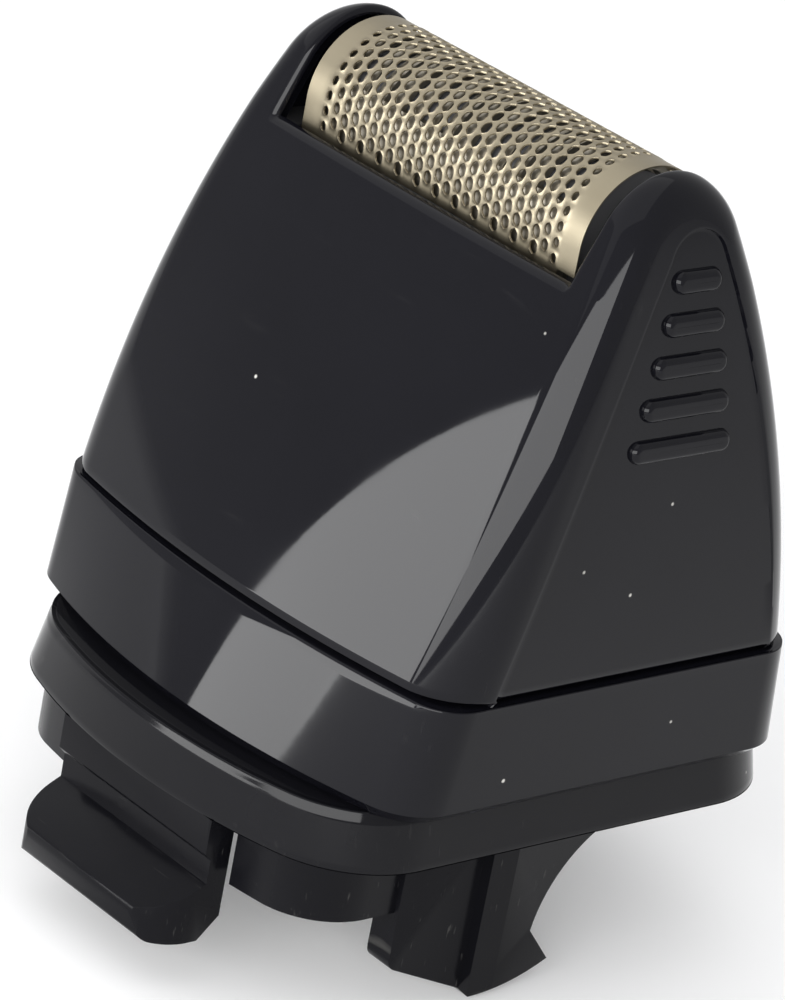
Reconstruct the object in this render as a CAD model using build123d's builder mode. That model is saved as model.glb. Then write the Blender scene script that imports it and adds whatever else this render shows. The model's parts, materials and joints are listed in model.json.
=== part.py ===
import os
from math import cos, degrees, radians, sin, sqrt

from build123d import *

# Clip-on foil head for a grooming handle, in millimetres.
# Origin: middle of the face that seats on the handle. +Z points to the foil and -Y to the front.

# Foil, an arch with straight legs, and its holes
foil_radius = 4.1
foil_thickness = 0.15
foil_length = 21.0
foil_axis_height = 30.55
foil_leg = 4.0
foil_border = 1.3
hole_size = 1.0
hole_pitch = 1.65
hole_arc_pitch = 1.75
hole_arc_margin = 12.0

# Head shell over the foil
seam_height = 9.4
seam_gap = 0.3
head_half_width = 15.7
head_half_depth = 11.7
head_bulge = 1.7
upright_rise = 4.0
cheek_width = 1.9
crown_rise = 0.15
flank_radius = 120.0
edge_radius = 2.4
shell_wall = 1.3
window_end_gap = 0.8
window_drop = 1.2
foil_fit = 0.05

# Side panels with finger ribs
panel_margin = 2.3
panel_shift = 0.6
panel_depth = 0.2
rib_count = 5
rib_top_drop = 0.5
rib_pitch = 2.06
rib_width = 1.2
rib_raise = 0.45
rib_root = 0.8
rib_shortest = 3.1
rib_step = 0.87
rib_chamfer = 0.2

# Frame that clamps the foil's legs
frame_fit = 0.08
frame_height = 2.4
frame_top_gap = 0.4
frame_end_gap = 0.3

# Collar, its deck and the lip that the head slides over
collar_gap = 0.25
collar_side_step = 0.4
collar_front_step = 0.9
collar_bulge = 2.8
collar_corner = 3.2
collar_chamfer = 0.6
head_fit = 0.15
lip_wall = 1.15
lip_height = 2.4
core_corner = 1.2
deck_drop = 1.5
deck_thickness = 1.5

# Mounting base: skirt, neck, spigot and floor
skirt_height = 3.1
skirt_side_step = 1.6
skirt_front_step = 1.1
skirt_bulge = 3.1
skirt_corner = 6.0
skirt_flare = 0.5
neck_fit = 0.1
neck_wall = 1.2
neck_gap = 0.2
floor_bottom = 1.3
drive_opening = 12.0
spigot_drop = 3.4
spigot_rim = 1.0
seat_side = 1.4
seat_front = 0.8
spigot_bulge = 1.4
spigot_corner = 4.0
spigot_wall = 1.5

# Front latch lug
lug_width = 12.2
lug_stem = 1.6
lug_stand = 0.8
lug_band = 1.9
lug_recess = 0.4
lug_crease = 3.6
lug_overhang = 2.8
lug_lip_edge = 5.2
lug_drop = 6.8
lug_nose = 0.4
lug_nose_radius = 0.5
lug_heel = 1.2
lug_corner = 2.6
lug_slot = 0.7

# Side hooks
hook_stand = 0.3
hook_thickness = 1.7
hook_front = 9.4
hook_toe_drop = 6.4
hook_drop = 9.3
hook_barb = 1.7
hook_barb_drop = 8.1
hook_neck = 0.1
hook_neck_drop = 6.2
hook_root = 6.0
hook_neck_lean = 8.5
hook_ridge = 3.4
hook_ridge_width = 1.7
hook_ridge_raise = 0.7
hook_toe_radius = 0.7

# Guide rods and their clamps
rod_radius = 0.75
rod_fit = 0.02
rod_spacing = 10.4
rod_rise = 5.1
rod_end_gap = 0.2
block_length = 2.2
block_inset = 4.5
block_span = 14.0
clamp_height = 1.8

# Screws
screw_radius = 0.7
screw_fit = 0.05
screw_head_radius = 1.3
screw_head_height = 0.9
clamp_screw_grip = 3.4
base_screw_side = 7.5
base_screw_front = 5.5
base_screw_grip = 2.6
boss_radius = 2.0

# Drive bridge with its fork, beam and guide posts
stroke = 1.0
sleeve_radius = 1.6
sleeve_length = 10.0
running_fit = 0.08
bridge_length = 8.0
bridge_thickness = 2.0
stem_length = 5.2
stem_depth = 6.0
fork_rise = 0.3
fork_slot = 2.4
fork_slot_height = 4.4
slot_margin = 0.4
beam_length = 16.0
beam_depth = 4.8
beam_rise = 2.6
post_radius = 0.9
post_inset = 2.0
post_engagement = 4.5
shield_length = 14.0
shield_depth = 8.8
shield_thickness = 0.5
shield_gap = 0.2
shield_fit = 0.05

# Cutter block: carrier, springs and blade
float_travel = 0.8
carrier_end_gap = 1.3
carrier_height = 7.7
carrier_half_depth = 3.0
carrier_shoulder_drop = 2.4
carrier_shelf = 1.2
shelf_overhang = 0.75
carrier_crown_gap = 0.2
post_fit = 0.12
post_head_room = 0.4
blade_gap = 0.15
blade_thickness = 0.3
blade_end_gap = 1.1
blade_slot = 0.6
blade_slot_pitch = 1.3
blade_slot_start = 1.6
rail_step = 0.05
spring_radius = 1.45
spring_wire = 0.2
spring_turns = 3.5
spring_end_gap = 0.05

# Heights that follow from the values above
head_base = seam_height + seam_gap
upright_height = head_base + upright_rise
crown_radius = foil_radius + crown_rise
head_top = foil_axis_height + crown_radius
ceiling = head_top + crown_radius
window_bottom = foil_axis_height - window_drop
foil_bottom = foil_axis_height - foil_leg
rib_top_height = foil_axis_height - rib_top_drop
frame_top = window_bottom - frame_top_gap
collar_base = skirt_height + collar_gap
deck_top = seam_height - deck_drop
deck_bottom = deck_top - deck_thickness
neck_top = deck_bottom - neck_gap
rod_height = deck_top + rod_rise
beam_top = rod_height + beam_rise
fork_bottom = floor_bottom + fork_rise
carrier_shoulder = foil_axis_height - carrier_shoulder_drop
carrier_bottom = carrier_shoulder - carrier_height
post_top = carrier_bottom + post_engagement

# Widths, depths and insets that follow
window_half_length = foil_length / 2 + window_end_gap
shoulder_half_width = window_half_length + cheek_width
lip_inset = shell_wall + head_fit
core_inset = lip_inset + lip_wall
frame_inset = shell_wall + frame_fit
collar_half_width = head_half_width - collar_side_step
collar_half_depth = head_half_depth + collar_front_step
skirt_half_width = collar_half_width - skirt_side_step
skirt_half_depth = collar_half_depth + skirt_front_step
spigot_half_width = skirt_half_width - seat_side
spigot_half_depth = skirt_half_depth + skirt_bulge - spigot_bulge - seat_front
hook_outer = spigot_half_width + hook_stand
lug_front = spigot_half_depth + spigot_bulge + lug_stand
lug_reach = lug_front + lug_overhang
blade_radius = foil_radius - foil_thickness - blade_gap
rail_radius = blade_radius - rail_step
blade_half_length = foil_length / 2 - blade_end_gap
carrier_crown = blade_radius - blade_thickness - carrier_crown_gap
carrier_half_length = foil_length / 2 - carrier_end_gap
shelf_half_depth = carrier_half_depth + shelf_overhang
block_centre = head_half_width - block_inset
base_screw_x = head_half_width - base_screw_side
base_screw_y = head_half_depth - base_screw_front
rod_half_length = block_centre + block_length / 2 - rod_end_gap
clear_span = 4 * head_half_width
both_sides = (-1, 1)
upward = (Align.CENTER, Align.CENTER, Align.MIN)
downward = (Align.CENTER, Align.CENTER, Align.MAX)


# Half depth of the head at the seam: a parabola that bulges most in the middle of the width.
def head_depth(x):
    return head_half_depth + head_bulge * (1 - (x / head_half_width) ** 2)


# Centre of the flank arc, which leaves the seam point and runs tangent into the crown.
def flank_centre(half_depth):
    crown_centre = Vector(0, foil_axis_height)
    to_seam = Vector(half_depth, head_base) - crown_centre
    reach = flank_radius - crown_radius
    along = (reach**2 - flank_radius**2 + to_seam.length**2) / (2 * to_seam.length)
    across = sqrt(reach**2 - along**2)
    direction = to_seam.normalized()
    return crown_centre + direction * along + Vector(direction.Y, -direction.X) * across


# Arch of the head in a YZ plane, moved inwards by inset and cut off at the floor height.
def arch_profile(half_depth, inset, floor):
    centre = flank_centre(half_depth)
    crown_centre = Vector(0, foil_axis_height)
    flank = flank_radius - inset
    foot = Vector(centre.X + sqrt(flank**2 - (floor - centre.Y) ** 2), floor)
    shoulder = centre + (crown_centre - centre).normalized() * flank
    middle = centre + ((foot + shoulder) / 2 - centre).normalized() * flank
    top = Vector(0, foil_axis_height + crown_radius - inset)
    with BuildLine() as outline:
        Line((-foot.X, floor), foot)
        ThreePointArc(foot, middle, shoulder)
        ThreePointArc(shoulder, top, (-shoulder.X, shoulder.Y))
        ThreePointArc((-shoulder.X, shoulder.Y), (-middle.X, middle.Y), (-foot.X, floor))
    make_face(outline.edges())


# Half width of the head at a height: an arc, upright just over the seam, that leans in to the cheeks.
def side_x(height):
    rise = head_top - upright_height
    lean = head_half_width - shoulder_half_width
    side_radius = (rise**2 + lean**2) / (2 * lean)
    return head_half_width - side_radius + sqrt(side_radius**2 - (height - upright_height) ** 2)


# Head seen from the front, moved inwards by inset.
def front_profile(inset):
    right = [(side_x(height) - inset, height) for height in (0, upright_height, ceiling)]
    left = [(-x, height) for x, height in right]
    with BuildLine() as outline:
        Line(left[0], right[0])
        ThreePointArc(*right)
        Line(right[-1], left[-1])
        ThreePointArc(*left)
    make_face(outline.edges())


# Solid of the head's shape, moved inwards by inset, from the floor height up.
def head_form(inset, floor, rounding):
    with BuildPart() as form:
        for station in (-1, 0, 1):
            x = station * head_half_width
            with BuildSketch(Plane.YZ.offset(x)):
                arch_profile(head_depth(x), inset, floor)
        loft()
        with BuildSketch(Plane.XZ):
            front_profile(inset)
        extrude(amount=clear_span / 2, both=True, mode=Mode.INTERSECT)
        outermost = shoulder_half_width - inset - edge_radius
        rim = form.edges().filter_by(lambda edge: edge.bounding_box().size.Z > rounding)
        fillet(rim.filter_by(lambda edge: abs(edge.center().X) > outermost), rounding)
    return form.part


# Plan outline with bulged front and back and rounded corners.
def plan_outline(half_width, half_depth, bulge, corner):
    with BuildLine() as outline:
        ThreePointArc((-half_width, -half_depth), (0, -half_depth - bulge), (half_width, -half_depth))
        Line((half_width, -half_depth), (half_width, half_depth))
        ThreePointArc((half_width, half_depth), (0, half_depth + bulge), (-half_width, half_depth))
        Line((-half_width, half_depth), (-half_width, -half_depth))
    make_face(outline.edges())
    fillet(vertices(), corner)


# Outline of the hollow core that collar and neck share, moved inwards by inset.
def core_outline(inset):
    total = core_inset + inset
    plan_outline(head_half_width - total, head_half_depth - total, head_bulge, core_corner)


# Arch with straight legs around the foil's axis, drawn in a YZ plane.
def foil_arch(radius, bottom, mode=Mode.ADD):
    with BuildLine() as outline:
        Line((-radius, bottom), (radius, bottom))
        Line((radius, bottom), (radius, foil_axis_height))
        RadiusArc((radius, foil_axis_height), (-radius, foil_axis_height), -radius)
        Line((-radius, foil_axis_height), (-radius, bottom))
    make_face(outline.edges(), mode=mode)


os.makedirs("parts", exist_ok=True)

# Foil housing: shell with the window between two cheeks, sunk side panels and finger ribs
head_outer = head_form(0, head_base, edge_radius)
head_hollow = head_form(shell_wall, seam_height, edge_radius - shell_wall)

with BuildPart() as panel_cut:
    with BuildSketch(Plane.YZ.shift_origin((0, panel_shift, 0))):
        arch_profile(head_half_depth, panel_margin, head_base)
    extrude(amount=clear_span / 2, both=True)
    with BuildSketch(Plane.XZ):
        front_profile(panel_depth)
    extrude(amount=clear_span / 2, both=True, mode=Mode.SUBTRACT)

with BuildPart() as ribs:
    for index in range(rib_count):
        height = rib_top_height - index * rib_pitch
        face = side_x(height) - panel_depth + rib_raise
        with BuildSketch(Plane.YZ.offset(face)):
            with Locations((panel_shift, height)):
                SlotOverall(rib_shortest + index * rib_step, rib_width)
        extrude(amount=-rib_root)
    tops = ribs.faces().filter_by(Axis.X).filter_by(lambda end: end.normal_at().X > 0)
    chamfer(tops.edges(), rib_chamfer)
    mirror(about=Plane.YZ)

with BuildPart() as foil_housing:
    add(head_outer)
    add(panel_cut.part, mode=Mode.SUBTRACT)
    add(ribs.part)
    add(head_hollow, mode=Mode.SUBTRACT)
    with Locations((0, 0, window_bottom)):
        Box(2 * window_half_length, clear_span, clear_span, align=upward, mode=Mode.SUBTRACT)
        Box(
            2 * window_half_length,
            2 * (foil_radius + foil_fit),
            window_bottom - foil_bottom,
            align=downward,
            mode=Mode.SUBTRACT,
        )
foil_housing.part.label = "foil_housing"
export_step(foil_housing.part, "parts/foil_housing.step")

# Shaving foil: thin arch with staggered columns of six-sided holes
columns = int((foil_length - 2 * foil_border - hole_size) / hole_pitch) + 1
arc_step = degrees(hole_arc_pitch / foil_radius)
hole_planes = []
for column in range(columns):
    x = (column - (columns - 1) / 2) * hole_pitch
    rows = int((180 - 2 * hole_arc_margin) / arc_step) + 1 - column % 2
    for row in range(rows):
        angle = radians(90 + (row - (rows - 1) / 2) * arc_step)
        outward = Vector(0, cos(angle), sin(angle))
        origin = Vector(x, 0, foil_axis_height) + outward * foil_radius
        hole_planes.append(Plane(origin=origin, x_dir=(1, 0, 0), z_dir=outward))

with BuildPart() as shaving_foil:
    with BuildSketch(Plane.YZ):
        foil_arch(foil_radius, foil_bottom)
        foil_arch(foil_radius - foil_thickness, foil_bottom, mode=Mode.SUBTRACT)
    extrude(amount=foil_length / 2, both=True)
    with BuildSketch(*hole_planes):
        RegularPolygon(hole_size / 2, 6, rotation=30)
    extrude(amount=3 * foil_thickness, both=True, mode=Mode.SUBTRACT)
shaving_foil.part.label = "shaving_foil"
export_step(shaving_foil.part, "parts/shaving_foil.step")

# Foil frame: ring wedged into the shell, its rails against the foil's legs
frame_form = head_form(frame_inset, seam_height, edge_radius - shell_wall)
with BuildPart() as foil_frame:
    add(frame_form)
    with Locations((0, 0, frame_top)):
        Box(clear_span, clear_span, frame_height, align=downward, mode=Mode.INTERSECT)
    with Locations((0, 0, frame_top)):
        Box(foil_length + 2 * frame_end_gap, 2 * foil_radius, 2 * frame_height, mode=Mode.SUBTRACT)
foil_frame.part.label = "foil_frame"
export_step(foil_frame.part, "parts/foil_frame.step")

# Collar: flared band with deck, head lip, rod blocks and screw bosses, moulded in one
lip_outer = head_form(lip_inset, deck_top, edge_radius - shell_wall)
lip_inner = head_form(core_inset, deck_top, edge_radius - shell_wall)
with BuildPart() as lip:
    add(lip_outer)
    add(lip_inner, mode=Mode.SUBTRACT)
    with Locations((0, 0, seam_height + lip_height)):
        Box(clear_span, clear_span, clear_span, align=upward, mode=Mode.SUBTRACT)

rod_places = [(0, side * rod_spacing / 2, rod_height) for side in both_sides]
block_places = [(side * block_centre, 0, deck_top) for side in both_sides]
clamp_places = [(side * block_centre, 0, rod_height) for side in both_sides]
base_screw_places = [(x * base_screw_x, y * base_screw_y) for x in both_sides for y in both_sides]

with BuildPart() as collar:
    with BuildSketch(Plane.XY.offset(collar_base)):
        plan_outline(collar_half_width, collar_half_depth, collar_bulge, collar_corner)
    with BuildSketch(Plane.XY.offset(seam_height)):
        plan_outline(side_x(seam_height), head_half_depth, head_bulge, edge_radius)
    loft()
    chamfer(collar.edges().group_by(Axis.Z)[0], collar_chamfer)
    with BuildSketch(Plane.XY.offset(deck_top)):
        core_outline(0)
    extrude(amount=seam_height - deck_top, mode=Mode.SUBTRACT)
    with BuildSketch(Plane.XY.offset(collar_base)):
        core_outline(0)
    extrude(amount=deck_bottom - collar_base, mode=Mode.SUBTRACT)
    add(lip.part)
    with Locations(*block_places):
        Box(block_length, block_span, rod_height - deck_top, align=upward)
    with Locations(*rod_places):
        Cylinder(rod_radius + rod_fit, 2 * rod_half_length, rotation=(0, 90, 0), mode=Mode.SUBTRACT)
    with Locations(*clamp_places):
        Cylinder(
            screw_radius + screw_fit,
            clamp_screw_grip + screw_head_height,
            align=downward,
            mode=Mode.SUBTRACT,
        )
    with BuildSketch(Plane.XY.offset(skirt_height)):
        with Locations(*base_screw_places):
            Circle(boss_radius)
            Circle(screw_radius + screw_fit, mode=Mode.SUBTRACT)
    extrude(amount=deck_bottom - skirt_height)
    with Locations((0, 0, deck_bottom)):
        Box(
            stem_length + 2 * (stroke + slot_margin),
            stem_depth + 2 * slot_margin,
            deck_top - deck_bottom,
            align=upward,
            mode=Mode.SUBTRACT,
        )
collar.part.label = "collar"
export_step(collar.part, "parts/collar.step")

# Latch lug at the front: stem with an outward barb, its corners rounded in plan
with BuildPart() as lug:
    stem_back = lug_front - lug_stem
    waist = lug_front - lug_recess
    with BuildSketch(Plane.YZ):
        with BuildLine():
            Polyline(
                (-stem_back, 0),
                (-lug_front, 0),
                (-lug_front, -lug_band),
                (-waist, -lug_band - lug_recess),
                (-waist, -lug_crease),
                (-lug_reach, -lug_lip_edge),
                (-lug_reach + lug_nose, -lug_drop),
                (-stem_back - lug_heel, -lug_drop),
                (-stem_back, -lug_drop + lug_heel),
                close=True,
            )
        make_face()
    extrude(amount=lug_width / 2, both=True)
    nose = lug.edges().filter_by(Axis.X).sort_by(Axis.Y)[:2]
    fillet(nose, lug_nose_radius)
    with BuildSketch(Plane.XY):
        with Locations((0, -lug_reach)):
            RectangleRounded(lug_width, 2 * lug_reach, lug_corner, align=(Align.CENTER, Align.MIN))
    extrude(amount=clear_span / 2, both=True, mode=Mode.INTERSECT)

# Side hook: boot-shaped leg with a barb towards the back and a ridge on its outer face
with BuildPart() as hook:
    with BuildSketch(Plane.YZ.offset(hook_outer)):
        with BuildLine():
            Polyline(
                (-hook_front, 0),
                (-hook_front, -hook_toe_drop),
                (-hook_ridge - hook_ridge_width / 2, -hook_drop + hook_toe_radius),
                (-hook_ridge, -hook_drop),
            )
            TangentArc((-hook_ridge, -hook_drop), (hook_barb, -hook_barb_drop), tangent=(1, 0))
            Line((hook_barb, -hook_barb_drop), (hook_neck, -hook_neck_drop))
            TangentArc(
                (hook_neck, -hook_neck_drop),
                (hook_root, 0),
                tangent=(sin(radians(hook_neck_lean)), cos(radians(hook_neck_lean))),
            )
            Line((hook_root, 0), (-hook_front, 0))
        make_face()
    extrude(amount=-hook_thickness)
    toe = hook.edges().filter_by(Axis.X).sort_by(Axis.Y)[:2].sort_by(Axis.Z)[0]
    fillet(toe, hook_toe_radius)
    with Locations((hook_outer, -hook_ridge, 0)):
        Box(
            hook_ridge_raise,
            hook_ridge_width,
            hook_drop - hook_toe_radius,
            align=(Align.MIN, Align.CENTER, Align.MAX),
        )

# Mounting base: skirt with neck, hollow spigot, latch lug and two side hooks, moulded in one
with BuildPart() as mounting_base:
    with BuildSketch():
        plan_outline(
            skirt_half_width + skirt_flare,
            skirt_half_depth + skirt_flare,
            skirt_bulge,
            skirt_corner,
        )
    with BuildSketch(Plane.XY.offset(skirt_height)):
        plan_outline(skirt_half_width, skirt_half_depth, skirt_bulge, skirt_corner)
    loft()
    with BuildSketch(Plane.XY.offset(skirt_height)):
        core_outline(neck_fit)
    extrude(amount=neck_top - skirt_height)
    with BuildSketch(Plane.XY.offset(skirt_height)):
        core_outline(neck_fit + neck_wall)
    extrude(amount=neck_top - skirt_height, mode=Mode.SUBTRACT)
    with BuildSketch():
        plan_outline(spigot_half_width, spigot_half_depth, spigot_bulge, spigot_corner)
    extrude(amount=-spigot_drop)
    with BuildSketch(Plane.XY.offset(-spigot_drop)):
        plan_outline(
            spigot_half_width - spigot_wall,
            spigot_half_depth - spigot_wall,
            spigot_bulge,
            spigot_corner - spigot_wall,
        )
    extrude(amount=spigot_drop + floor_bottom, mode=Mode.SUBTRACT)
    with Locations((0, -hook_front, -spigot_rim)):
        Box(
            clear_span,
            clear_span,
            spigot_drop,
            align=(Align.CENTER, Align.MIN, Align.MAX),
            mode=Mode.SUBTRACT,
        )
    with Locations((0, 0, floor_bottom)):
        Box(drive_opening, drive_opening, skirt_height, align=upward, mode=Mode.SUBTRACT)
    with Locations((0, -spigot_half_depth, 0)):
        Box(
            lug_width + 2 * lug_slot,
            2 * (spigot_bulge + spigot_wall),
            spigot_drop,
            align=downward,
            mode=Mode.SUBTRACT,
        )
    with Locations(*[(x, y, floor_bottom) for x, y in base_screw_places]):
        Cylinder(
            screw_radius + screw_fit,
            skirt_height,
            align=upward,
            mode=Mode.SUBTRACT,
        )
    add(lug.part)
    add(hook.part)
    add(mirror(hook.part, about=Plane.YZ))
mounting_base.part.label = "mounting_base"
export_step(mounting_base.part, "parts/mounting_base.step")

# Guide rods, one in front of the cutter and one behind it
for name, place in zip(("guide_rod_front", "guide_rod_rear"), rod_places):
    with BuildPart() as guide_rod:
        with Locations(place):
            Cylinder(rod_radius, 2 * (rod_half_length - rod_end_gap), rotation=(0, 90, 0))
    guide_rod.part.label = name
    export_step(guide_rod.part, f"parts/{name}.step")

# Rod clamps, a cap over both rods at each end
for name, place in zip(("rod_clamp_left", "rod_clamp_right"), clamp_places):
    with BuildPart() as rod_clamp:
        with Locations(place):
            Box(block_length, block_span, clamp_height, align=upward)
            Cylinder(screw_radius + screw_fit, 2 * clamp_height, mode=Mode.SUBTRACT)
        with Locations(*rod_places):
            Cylinder(rod_radius + rod_fit, 2 * rod_half_length, rotation=(0, 90, 0), mode=Mode.SUBTRACT)
    rod_clamp.part.label = name
    export_step(rod_clamp.part, f"parts/{name}.step")

# Clamp screws, heads on the caps
with BuildPart() as clamp_screws:
    with Locations(*[(x, y, z + clamp_height) for x, y, z in clamp_places]):
        Cylinder(screw_head_radius, screw_head_height, align=upward)
        Cylinder(screw_radius, clamp_height + clamp_screw_grip, align=downward)
clamp_screws.part.label = "clamp_screws"
export_step(clamp_screws.part, "parts/clamp_screws.step")

# Base screws, driven from below through the floor into the bosses
with BuildPart() as base_screws:
    with Locations(*[(x, y, floor_bottom) for x, y in base_screw_places]):
        Cylinder(screw_head_radius, screw_head_height, align=downward)
        Cylinder(
            screw_radius,
            skirt_height - floor_bottom + base_screw_grip,
            align=upward,
        )
base_screws.part.label = "base_screws"
export_step(base_screws.part, "parts/base_screws.step")

# Drive bridge: sleeves on the rods, fork for the handle's eccentric pin, beam with two guide posts
post_places = [(side * (beam_length / 2 - post_inset), 0, beam_top) for side in both_sides]
with BuildPart() as drive_bridge:
    with Locations((0, 0, rod_height)):
        Box(bridge_length, rod_spacing, bridge_thickness)
        Box(beam_length, beam_depth, beam_top - rod_height, align=upward)
        Box(stem_length, stem_depth, rod_height - fork_bottom, align=downward)
    with Locations(*rod_places):
        Cylinder(sleeve_radius, sleeve_length, rotation=(0, 90, 0))
        Cylinder(rod_radius + running_fit, 2 * sleeve_length, rotation=(0, 90, 0), mode=Mode.SUBTRACT)
    with Locations(*post_places):
        Cylinder(post_radius, post_top - beam_top, align=upward)
    with Locations((0, 0, fork_bottom)):
        Box(
            fork_slot,
            2 * stem_depth,
            fork_slot_height,
            align=upward,
            mode=Mode.SUBTRACT,
        )
drive_bridge.part.label = "drive_bridge"
export_step(drive_bridge.part, "parts/drive_bridge.step")

# Slot shield: thin plate round the stem that keeps the drive slot covered
with BuildPart() as slot_shield:
    with BuildSketch(Plane.XY.offset(deck_top + shield_gap)):
        Rectangle(shield_length, shield_depth)
        Rectangle(stem_length + 2 * shield_fit, stem_depth + 2 * shield_fit, mode=Mode.SUBTRACT)
    extrude(amount=shield_thickness)
slot_shield.part.label = "slot_shield"
export_step(slot_shield.part, "parts/slot_shield.step")

# Cutter carrier: saddle with a shelf for the blade's edges and two blind bores over the posts
with BuildPart() as cutter_carrier:
    with BuildSketch(Plane.YZ):
        with Locations((0, carrier_bottom)):
            Rectangle(
                2 * carrier_half_depth,
                carrier_shoulder - carrier_bottom,
                align=(Align.CENTER, Align.MIN),
            )
        with Locations((0, carrier_shoulder)):
            Rectangle(2 * shelf_half_depth, carrier_shelf, align=(Align.CENTER, Align.MAX))
        foil_arch(carrier_crown, carrier_shoulder)
    extrude(amount=carrier_half_length, both=True)
    with Locations(*[(x, y, carrier_bottom) for x, y, z in post_places]):
        Cylinder(
            post_radius + post_fit,
            post_engagement + float_travel + post_head_room,
            align=upward,
            mode=Mode.SUBTRACT,
        )
cutter_carrier.part.label = "cutter_carrier"
export_step(cutter_carrier.part, "parts/cutter_carrier.step")

# Cutter blade: two rails joined by a row of narrow arched blades, broader at both ends
blade_slots = 2 * int((blade_half_length - blade_slot_pitch) / blade_slot_pitch) + 1
slot_centres = [(index - (blade_slots - 1) / 2) * blade_slot_pitch for index in range(blade_slots)]
slot_sides = [centre + side * blade_slot / 2 for centre in slot_centres for side in both_sides]
strip_ends = [-blade_half_length, *slot_sides, blade_half_length]
with BuildPart() as cutter_blade:
    with BuildSketch(Plane.YZ.offset(-blade_half_length)):
        foil_arch(rail_radius, carrier_shoulder)
        foil_arch(rail_radius - blade_thickness, carrier_shoulder, mode=Mode.SUBTRACT)
        with Locations((0, foil_axis_height + blade_slot_start)):
            Rectangle(clear_span, clear_span, align=(Align.CENTER, Align.MIN), mode=Mode.SUBTRACT)
    extrude(amount=2 * blade_half_length)
    for start, end in zip(strip_ends[::2], strip_ends[1::2]):
        with BuildSketch(Plane.YZ.offset(start)):
            foil_arch(blade_radius, carrier_shoulder)
            foil_arch(blade_radius - blade_thickness, carrier_shoulder, mode=Mode.SUBTRACT)
            with Locations((0, foil_axis_height + blade_slot_start)):
                Rectangle(clear_span, clear_span, align=(Align.CENTER, Align.MAX), mode=Mode.SUBTRACT)
        extrude(amount=end - start)
cutter_blade.part.label = "cutter_blade"
export_step(cutter_blade.part, "parts/cutter_blade.step")

# Carrier springs, one round each post between beam and carrier
spring_height = carrier_bottom - beam_top - 2 * (spring_wire + spring_end_gap)
for name, place in zip(("carrier_spring_left", "carrier_spring_right"), post_places):
    with BuildPart() as carrier_spring:
        with BuildLine() as coil:
            Helix(
                pitch=spring_height / spring_turns,
                height=spring_height,
                radius=spring_radius,
                center=Vector(*place) + Vector(0, 0, spring_wire + spring_end_gap),
            )
        with BuildSketch(Plane(origin=coil.line @ 0, z_dir=coil.line % 0)):
            RegularPolygon(spring_wire, 6)
        sweep(is_frenet=True)
    carrier_spring.part.label = name
    export_step(carrier_spring.part, f"parts/{name}.step")
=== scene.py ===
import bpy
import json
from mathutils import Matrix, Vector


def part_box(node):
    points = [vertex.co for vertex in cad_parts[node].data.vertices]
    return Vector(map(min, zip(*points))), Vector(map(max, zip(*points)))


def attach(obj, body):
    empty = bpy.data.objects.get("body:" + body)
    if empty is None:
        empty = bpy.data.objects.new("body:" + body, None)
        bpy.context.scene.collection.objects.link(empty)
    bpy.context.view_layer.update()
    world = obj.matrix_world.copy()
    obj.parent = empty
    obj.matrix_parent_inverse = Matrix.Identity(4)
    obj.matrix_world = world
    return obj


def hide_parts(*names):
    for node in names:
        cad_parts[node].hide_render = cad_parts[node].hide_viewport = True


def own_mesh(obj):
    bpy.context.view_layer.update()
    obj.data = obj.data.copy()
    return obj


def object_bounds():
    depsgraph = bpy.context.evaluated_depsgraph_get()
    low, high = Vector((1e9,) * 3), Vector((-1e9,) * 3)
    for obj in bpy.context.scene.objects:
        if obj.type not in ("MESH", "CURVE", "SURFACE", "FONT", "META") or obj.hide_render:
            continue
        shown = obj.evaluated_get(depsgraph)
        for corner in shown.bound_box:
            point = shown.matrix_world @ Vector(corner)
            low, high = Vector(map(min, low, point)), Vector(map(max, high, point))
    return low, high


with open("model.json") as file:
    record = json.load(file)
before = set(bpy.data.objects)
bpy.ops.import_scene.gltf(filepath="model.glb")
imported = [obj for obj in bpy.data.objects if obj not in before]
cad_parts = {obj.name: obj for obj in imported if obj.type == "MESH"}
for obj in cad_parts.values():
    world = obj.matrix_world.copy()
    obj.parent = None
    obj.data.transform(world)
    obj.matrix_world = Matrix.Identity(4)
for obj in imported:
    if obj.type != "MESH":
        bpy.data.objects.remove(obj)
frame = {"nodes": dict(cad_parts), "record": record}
cadBox = [list(corner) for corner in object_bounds()]

import json
import math

import bmesh
import bpy
import numpy as np
from mathutils import Matrix, Vector

mm = 0.001
scene = bpy.context.scene
scene.view_settings.view_transform = "Standard"
print("frame loaded:", len(frame["nodes"]), "nodes")


# Corners of a CAD node in millimetres
def nodeBox(node):
    low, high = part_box(node)
    return np.array(low) / mm, np.array(high) / mm


housingLow, housingHigh = nodeBox("foil_housing")
foilLow, foilHigh = nodeBox("shaving_foil")
foilRadius = foilHigh[1]
foilAxis = foilHigh[2] - foilRadius
foilHalfLength = foilHigh[0]


# Mesh from an array of points in millimetres and an array of four-cornered faces
def meshFromArrays(name, points, quads):
    mesh = bpy.data.meshes.new(name)
    mesh.vertices.add(len(points))
    mesh.vertices.foreach_set("co", (np.asarray(points) * mm).astype(np.float32).ravel())
    mesh.loops.add(quads.size)
    mesh.loops.foreach_set("vertex_index", quads.astype(np.int32).ravel())
    mesh.polygons.add(len(quads))
    mesh.polygons.foreach_set("loop_start", np.arange(0, quads.size, 4, dtype=np.int32))
    mesh.update(calc_edges=True)
    mesh.validate()
    return mesh


# Faces between the neighbours in a grid of point numbers
def quadsBetween(index):
    corners = (index[:-1, :-1], index[:-1, 1:], index[1:, 1:], index[1:, :-1])
    return np.stack(corners, -1).reshape(-1, 4)


# Faces of a rows by columns grid of points, numbered row by row
def gridQuads(rows, columns):
    return quadsBetween(np.arange(rows * columns).reshape(rows, columns))


# Points of a mesh in millimetres
def meshPoints(mesh):
    places = np.zeros(len(mesh.vertices) * 3, np.float32)
    mesh.vertices.foreach_get("co", places)
    return places.reshape(-1, 3) / mm


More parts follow.
